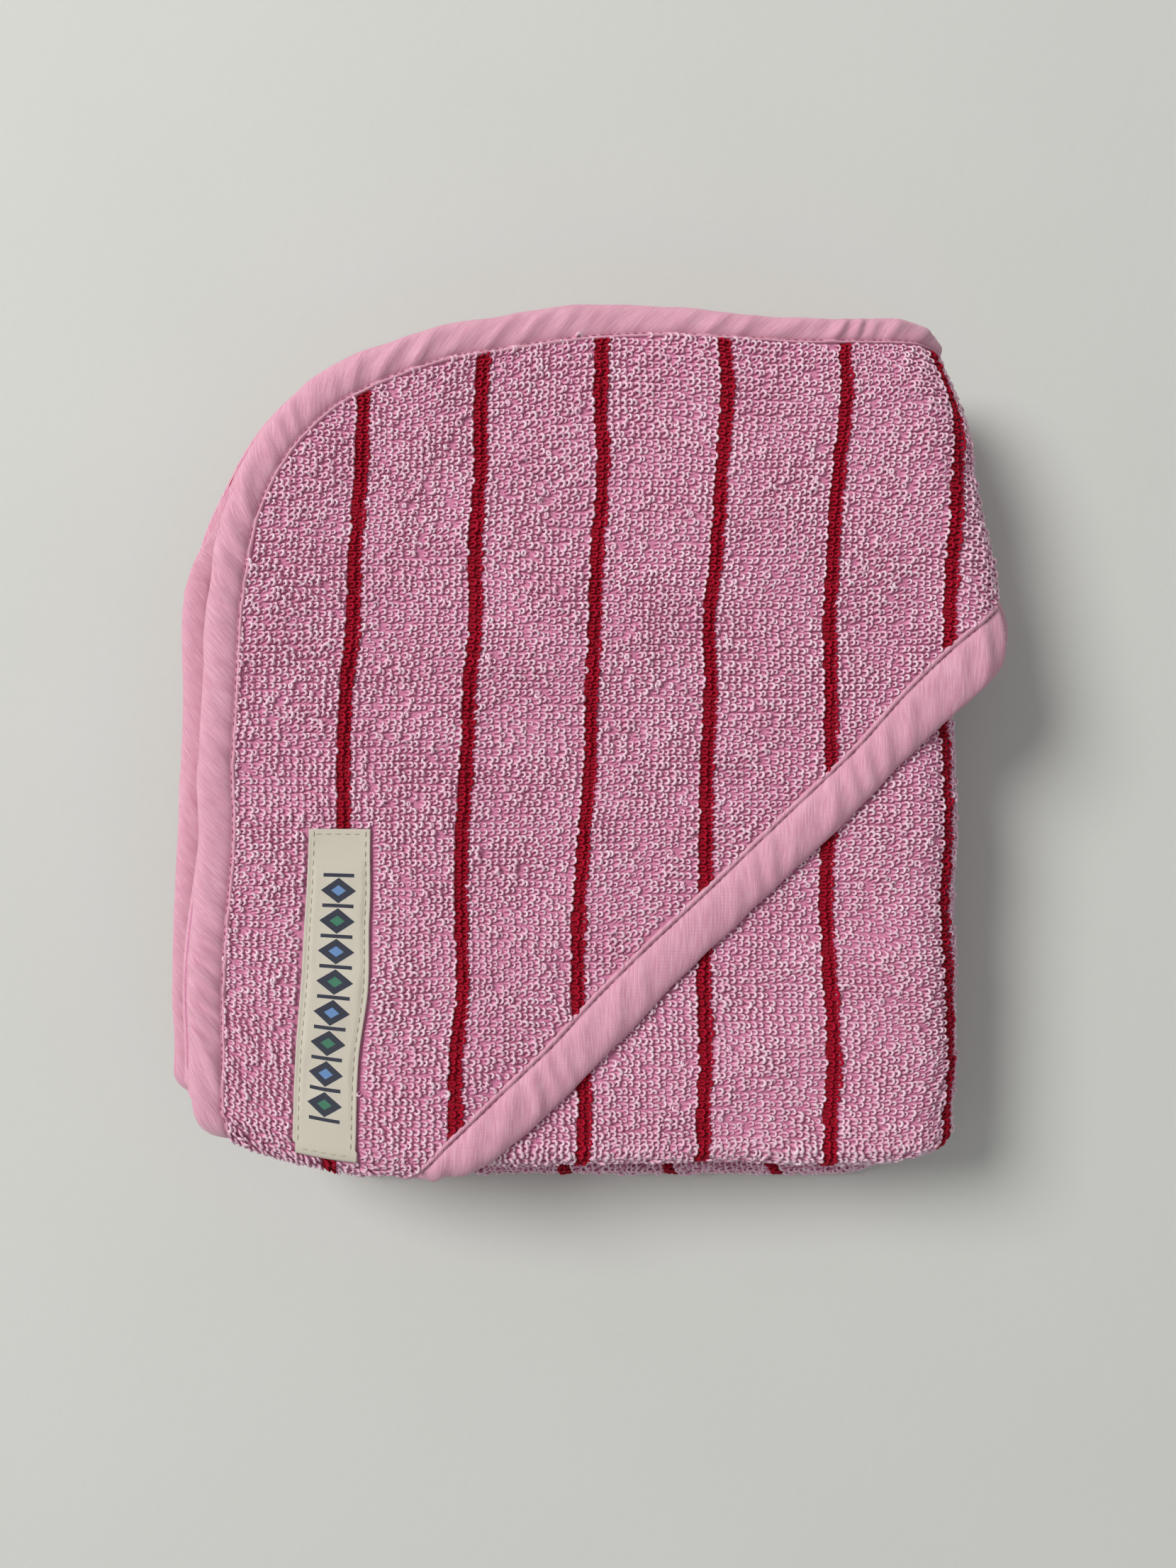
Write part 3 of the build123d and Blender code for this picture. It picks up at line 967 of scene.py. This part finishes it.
def tape_mesh(name, outline, width, over, face, back, lift, place, closed):
    """A tape folded round an edge. Its inner edges lie width inside the outline, its fold over outside it."""
    s, u, v, out_u, out_v, width, face, back, lift = (
        line[:, None] for line in (*outline, width, face, back, lift)
    )
    across = np.concatenate([TAPE_ACROSS, TAPE_ACROSS[-2::-1]])
    on_face = np.arange(len(across)) < len(TAPE_ACROSS)
    reach = -width + across * (width + over)
    height = tape_section(face, back, lift)

    # the slanting folds that the seam pulls in the tape
    slant = s - 0.9 * reach
    drift = 1.4 * PUCKER(s / 0.021, 50.0)
    ridge = (0.5 + 0.5 * np.sin(2 * math.pi * slant / FOLD_PITCH + drift * math.pi)) ** 2.2
    uneven = 0.62 + 0.55 * PUCKER(slant / 0.014, reach / 0.030 + 7.0)
    small = PUCKER(slant / 0.0034, reach / 0.020 + 31.0)
    swell = PUFF(s / 0.024, 3.0)
    body = np.sin(math.pi * np.clip(across, 0.0, 1.0)) ** 0.7
    bump = (0.00190 * ridge * uneven + 0.00036 * small + 0.00034 * swell - 0.00060) * body * on_face
    height = height + bump * lift
    wave = 0.00035 * PUFF(s / 0.0085, 11.0) * np.clip(across, 0, 1) ** 3
    reach = reach + wave * lift

    points = place(u + reach * out_u, v + reach * out_v, height)
    rows, columns = reach.shape
    quads = quads_of_grid(rows, columns, close_rows=closed, close_columns=True)
    step = np.hypot(np.diff(reach, axis=1), np.diff(height, axis=1))
    round_section = np.concatenate([np.zeros((rows, 1)), np.cumsum(step, axis=1)], axis=1)
    flat = np.stack(np.broadcast_arrays(s, round_section), axis=-1)
    return add_mesh(name, points, quads, [BINDING], flat=flat)


TAPE_STEP = 0.00125  # between a tape's sections
EASE = 6  # how many sections either way its padding is averaged over


def make_edge_binding():
    outline = towel_outline(TAPE_STEP)
    s, u, v = outline[:3]
    on_top = np.where(v < CORNER_R, 1.0 - ramp(u, HOOD_LEG + 0.018, HOOD_LEG + 0.026), 0.0)
    on_left = np.where(u < CORNER_R, 1.0 - ramp(v, HOOD_LEG + 0.018, HOOD_LEG + 0.026), 0.0)
    hood = np.maximum(on_top * (v < 0.5), on_left * (u < 0.5))
    front = (v < BODY.v_breaks[1] + 0.010) & (u < BODY.spine_end)
    second = (u > TOWEL - 0.02) & (v > BODY.v_breaks[2]) & (v < BODY.v_breaks[3])
    lift = np.where(front, 1.0, np.where(second, 0.55, 0.15))
    lift = np.concatenate([lift[-EASE:], lift, lift[:EASE]])
    lift = np.convolve(lift, np.ones(2 * EASE + 1) / (2 * EASE + 1), mode="valid")
    face = HALF + 0.00015 + hood * LAYER
    back = np.full_like(s, -HALF - 0.00020)
    return tape_mesh(
        "edge_binding_tape", outline, face_width(u, v), EDGE_OVER, face, back, lift, BODY.place, True
    )


def hood_diagonal(step):
    """The line of the hood binding's inner edge, from the top edge's end to the left edge's end."""
    start, end = 0.0040, HOOD_LEG - 0.0040
    down = np.linspace(start, end, round((end - start) * DIAGONAL / step))
    s = (down - start) * DIAGONAL
    outward = np.full_like(s, 1.0 / DIAGONAL)
    return s, HOOD_LEG - down, down, outward, outward


def make_hood_binding():
    s, u, v, out_u, out_v = hood_diagonal(TAPE_STEP)
    width = HOOD_BINDING_W + 0.0006 * PUFF(s / 0.035, 21.0)
    # the line runs along the tape's inner edge, and its fold lies that width outside it
    outline = s, u + width * out_u, v + width * out_v, out_u, out_v
    face = np.full_like(s, HALF + 0.00015)
    back = np.full_like(s, -HALF - 0.00025)
    lift = 1.0 - 0.5 * (ramp(s, 0.060, 0.020) + ramp(s, s[-1] - 0.080, s[-1] - 0.050))
    return tape_mesh(
        "hood_binding_tape", outline, width, 0.0, face, back, lift, place_on_hood, False
    )


# ---- stitches
def add_stitches(name, place, u, v, along_u, along_v, n, length, radius, material):
    """A row of thread stitches, each a short tube that dips into the cloth at both ends."""
    rings, sides = 7, 6
    t = np.linspace(-1.0, 1.0, rings)
    around = np.linspace(0.0, 2 * math.pi, sides, endpoint=False)
    t, around = np.meshgrid(t, around, indexing="ij")
    taper = np.sqrt(np.clip(1.0 - t**4, 0.03, 1.0))
    forward = t * length / 2
    sideways = radius * taper * np.cos(around)
    upward = radius * taper * np.sin(around) - radius * 2.2 * t**4
    u, v, along_u, along_v, n = (each(values) for values in (u, v, along_u, along_v, n))
    points = place(
        u + forward * along_u - sideways * along_v,
        v + forward * along_v + sideways * along_u,
        n + upward,
    )
    return add_mesh(name, points, quads_of_tubes(len(u), rings, sides), [material])


STITCH = 0.0025  # from one stitch to the next
SEAM_STITCH_L = 0.0016
LABEL_STITCH = 0.0029
LABEL_STITCH_L = 0.0022


def make_edge_stitches():
    _, u, v, out_u, out_v = towel_outline(STITCH)
    width = face_width(u, v)
    inset = width - SEAM * (width + EDGE_OVER)
    seam_u, seam_v = u - inset * out_u, v - inset * out_v
    hood = (u + v < HOOD_LEG + 0.02).astype(float)
    n = HALF + 0.00026 + hood * LAYER
    return add_stitches(
        "edge_seam_stitches", BODY.place, seam_u, seam_v, -out_v, out_u, n,
        SEAM_STITCH_L, 0.00024, PINK_THREAD,
    )


def make_hood_stitches():
    s, u, v, out_u, out_v = hood_diagonal(STITCH)
    inset = SEAM * HOOD_BINDING_W
    n = np.full_like(s, HALF + 0.00022)
    return add_stitches(
        "hood_seam_stitches", place_on_hood, u + inset * out_u, v + inset * out_v, -out_v, out_u, n,
        SEAM_STITCH_L, 0.00018, PINK_THREAD,
    )


# ---- the label
LABEL_N = HALF + 0.00110  # it lies on the pile beside it
LABEL_HALF = 0.00016  # half of the ribbon's thickness
LABEL_SEAM_INSET = 0.0015


def label_place(across, along, n):
    """The label's own flat coordinates sent to the hood panel that it is sewn on."""
    u, v = LABEL_U + across, LABEL_TOP_V + along
    edge = np.maximum(np.abs(across) / (LABEL_W / 2), np.abs(2 * along / LABEL_L - 1.0))
    quilt = 0.00028 * PATCH_RELIEF(across / 0.006 + 5.0, along / 0.008)
    pressed = -0.00040 * ramp(edge, 0.70, 0.86) + 0.00022 * ramp(edge, 0.90, 1.0)
    return place_on_hood(u, v, LABEL_N + pressed + quilt * (1.0 - ramp(edge, 0.6, 0.85)) + n)


def make_label():
    across, along = np.meshgrid(
        np.linspace(-LABEL_W / 2, LABEL_W / 2, 41), np.linspace(0.0, LABEL_L, 161)
    )
    return add_cloth("label_ribbon", across, along, LABEL_HALF, label_place, [SATIN])


def make_label_stitches():
    half_w, low, high = LABEL_W / 2 - LABEL_SEAM_INSET, LABEL_SEAM_INSET, LABEL_L - LABEL_SEAM_INSET
    down = np.arange(low, high, LABEL_STITCH)
    over = np.arange(-half_w + LABEL_STITCH / 2, half_w, LABEL_STITCH)
    rows = [
        (-half_w, down, 0.0, 1.0),
        (half_w, down, 0.0, 1.0),
        (over, low, 1.0, 0.0),
        (over, high, 1.0, 0.0),
    ]
    rows = [np.broadcast_arrays(*row) for row in rows]
    across, along, along_u, along_v = (np.concatenate(parts) for parts in zip(*rows))
    n = np.full_like(across, LABEL_HALF + 0.00010)
    return add_stitches(
        "label_seam_stitches", label_place, across, along, along_u, along_v, n,
        LABEL_STITCH_L, 0.00017, CREAM_THREAD,
    )


# ---- build
towel_sheet = make_towel_sheet()
hood_sheet = make_hood_sheet()
hood_pile = make_hood_pile()
body_pile = make_body_pile()
edge_binding = make_edge_binding()
hood_binding = make_hood_binding()
edge_stitches = make_edge_stitches()
hood_stitches = make_hood_stitches()
label = make_label()
label_stitches = make_label_stitches()

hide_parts("towel_body")
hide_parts("hood_panel")
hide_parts("edge_binding")
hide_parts("hood_binding")
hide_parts("edge_stitching")
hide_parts("hood_stitching")
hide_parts("woven_label")
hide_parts("label_stitching")


# ---- stage, light and camera
FLOOR = 4.0  # half of its side
WINDOW = (-1.90, 1.15, 2.20)
CAMERA_X, CAMERA_Y = 0.0040, -0.0055
CAMERA_DISTANCE = 0.365  # above the hood


def make_floor():
    s = Shader("floor_paint", specular=0.25)
    s.roughness(0.85)
    spot = s.node("ShaderNodeTexCoord").outputs["Object"]
    mottle = s.noise(spot, 14.0, 4.0)
    s.colour(s.blend(mottle, (0.630, 0.638, 0.612, 1.0), (0.660, 0.664, 0.645, 1.0)))
    s.bump(s.noise(spot, 260.0, 3.0), 0.0003, 0.25)
    corners = [(-FLOOR, -FLOOR, 0.0), (FLOOR, -FLOOR, 0.0), (FLOOR, FLOOR, 0.0), (-FLOOR, FLOOR, 0.0)]
    mesh = bpy.data.meshes.new("floor")
    mesh.from_pydata(corners, [], [(0, 1, 2, 3)])
    mesh.materials.append(s.material)
    add_object("floor", mesh)


def make_light():
    world = bpy.data.worlds.new("soft_room")
    bpy.context.scene.world = world
    world.use_nodes = True
    background = world.node_tree.nodes["Background"]
    background.inputs["Color"].default_value = (0.97, 0.98, 0.97, 1.0)
    background.inputs["Strength"].default_value = 0.36
    lamp = bpy.data.lights.new("window", "AREA")
    lamp.shape = "DISK"
    lamp.size = 1.4
    lamp.energy = 84.0
    lamp.color = (1.0, 0.99, 0.96)
    light = add_object("window", lamp)
    light.location = WINDOW
    light.rotation_euler = (-Vector(WINDOW)).to_track_quat("-Z", "Y").to_euler()


def make_camera():
    data = bpy.data.cameras.new("camera")
    data.sensor_width = 36.0
    data.lens = 28.0
    data.clip_start = 0.01
    camera = add_object("camera", data)
    camera.location = (CAMERA_X, CAMERA_Y, HOOD_HIGH[2] + CAMERA_DISTANCE)
    bpy.context.scene.camera = camera


make_floor()
make_light()
make_camera()
bpy.context.scene.view_settings.view_transform = "Standard"
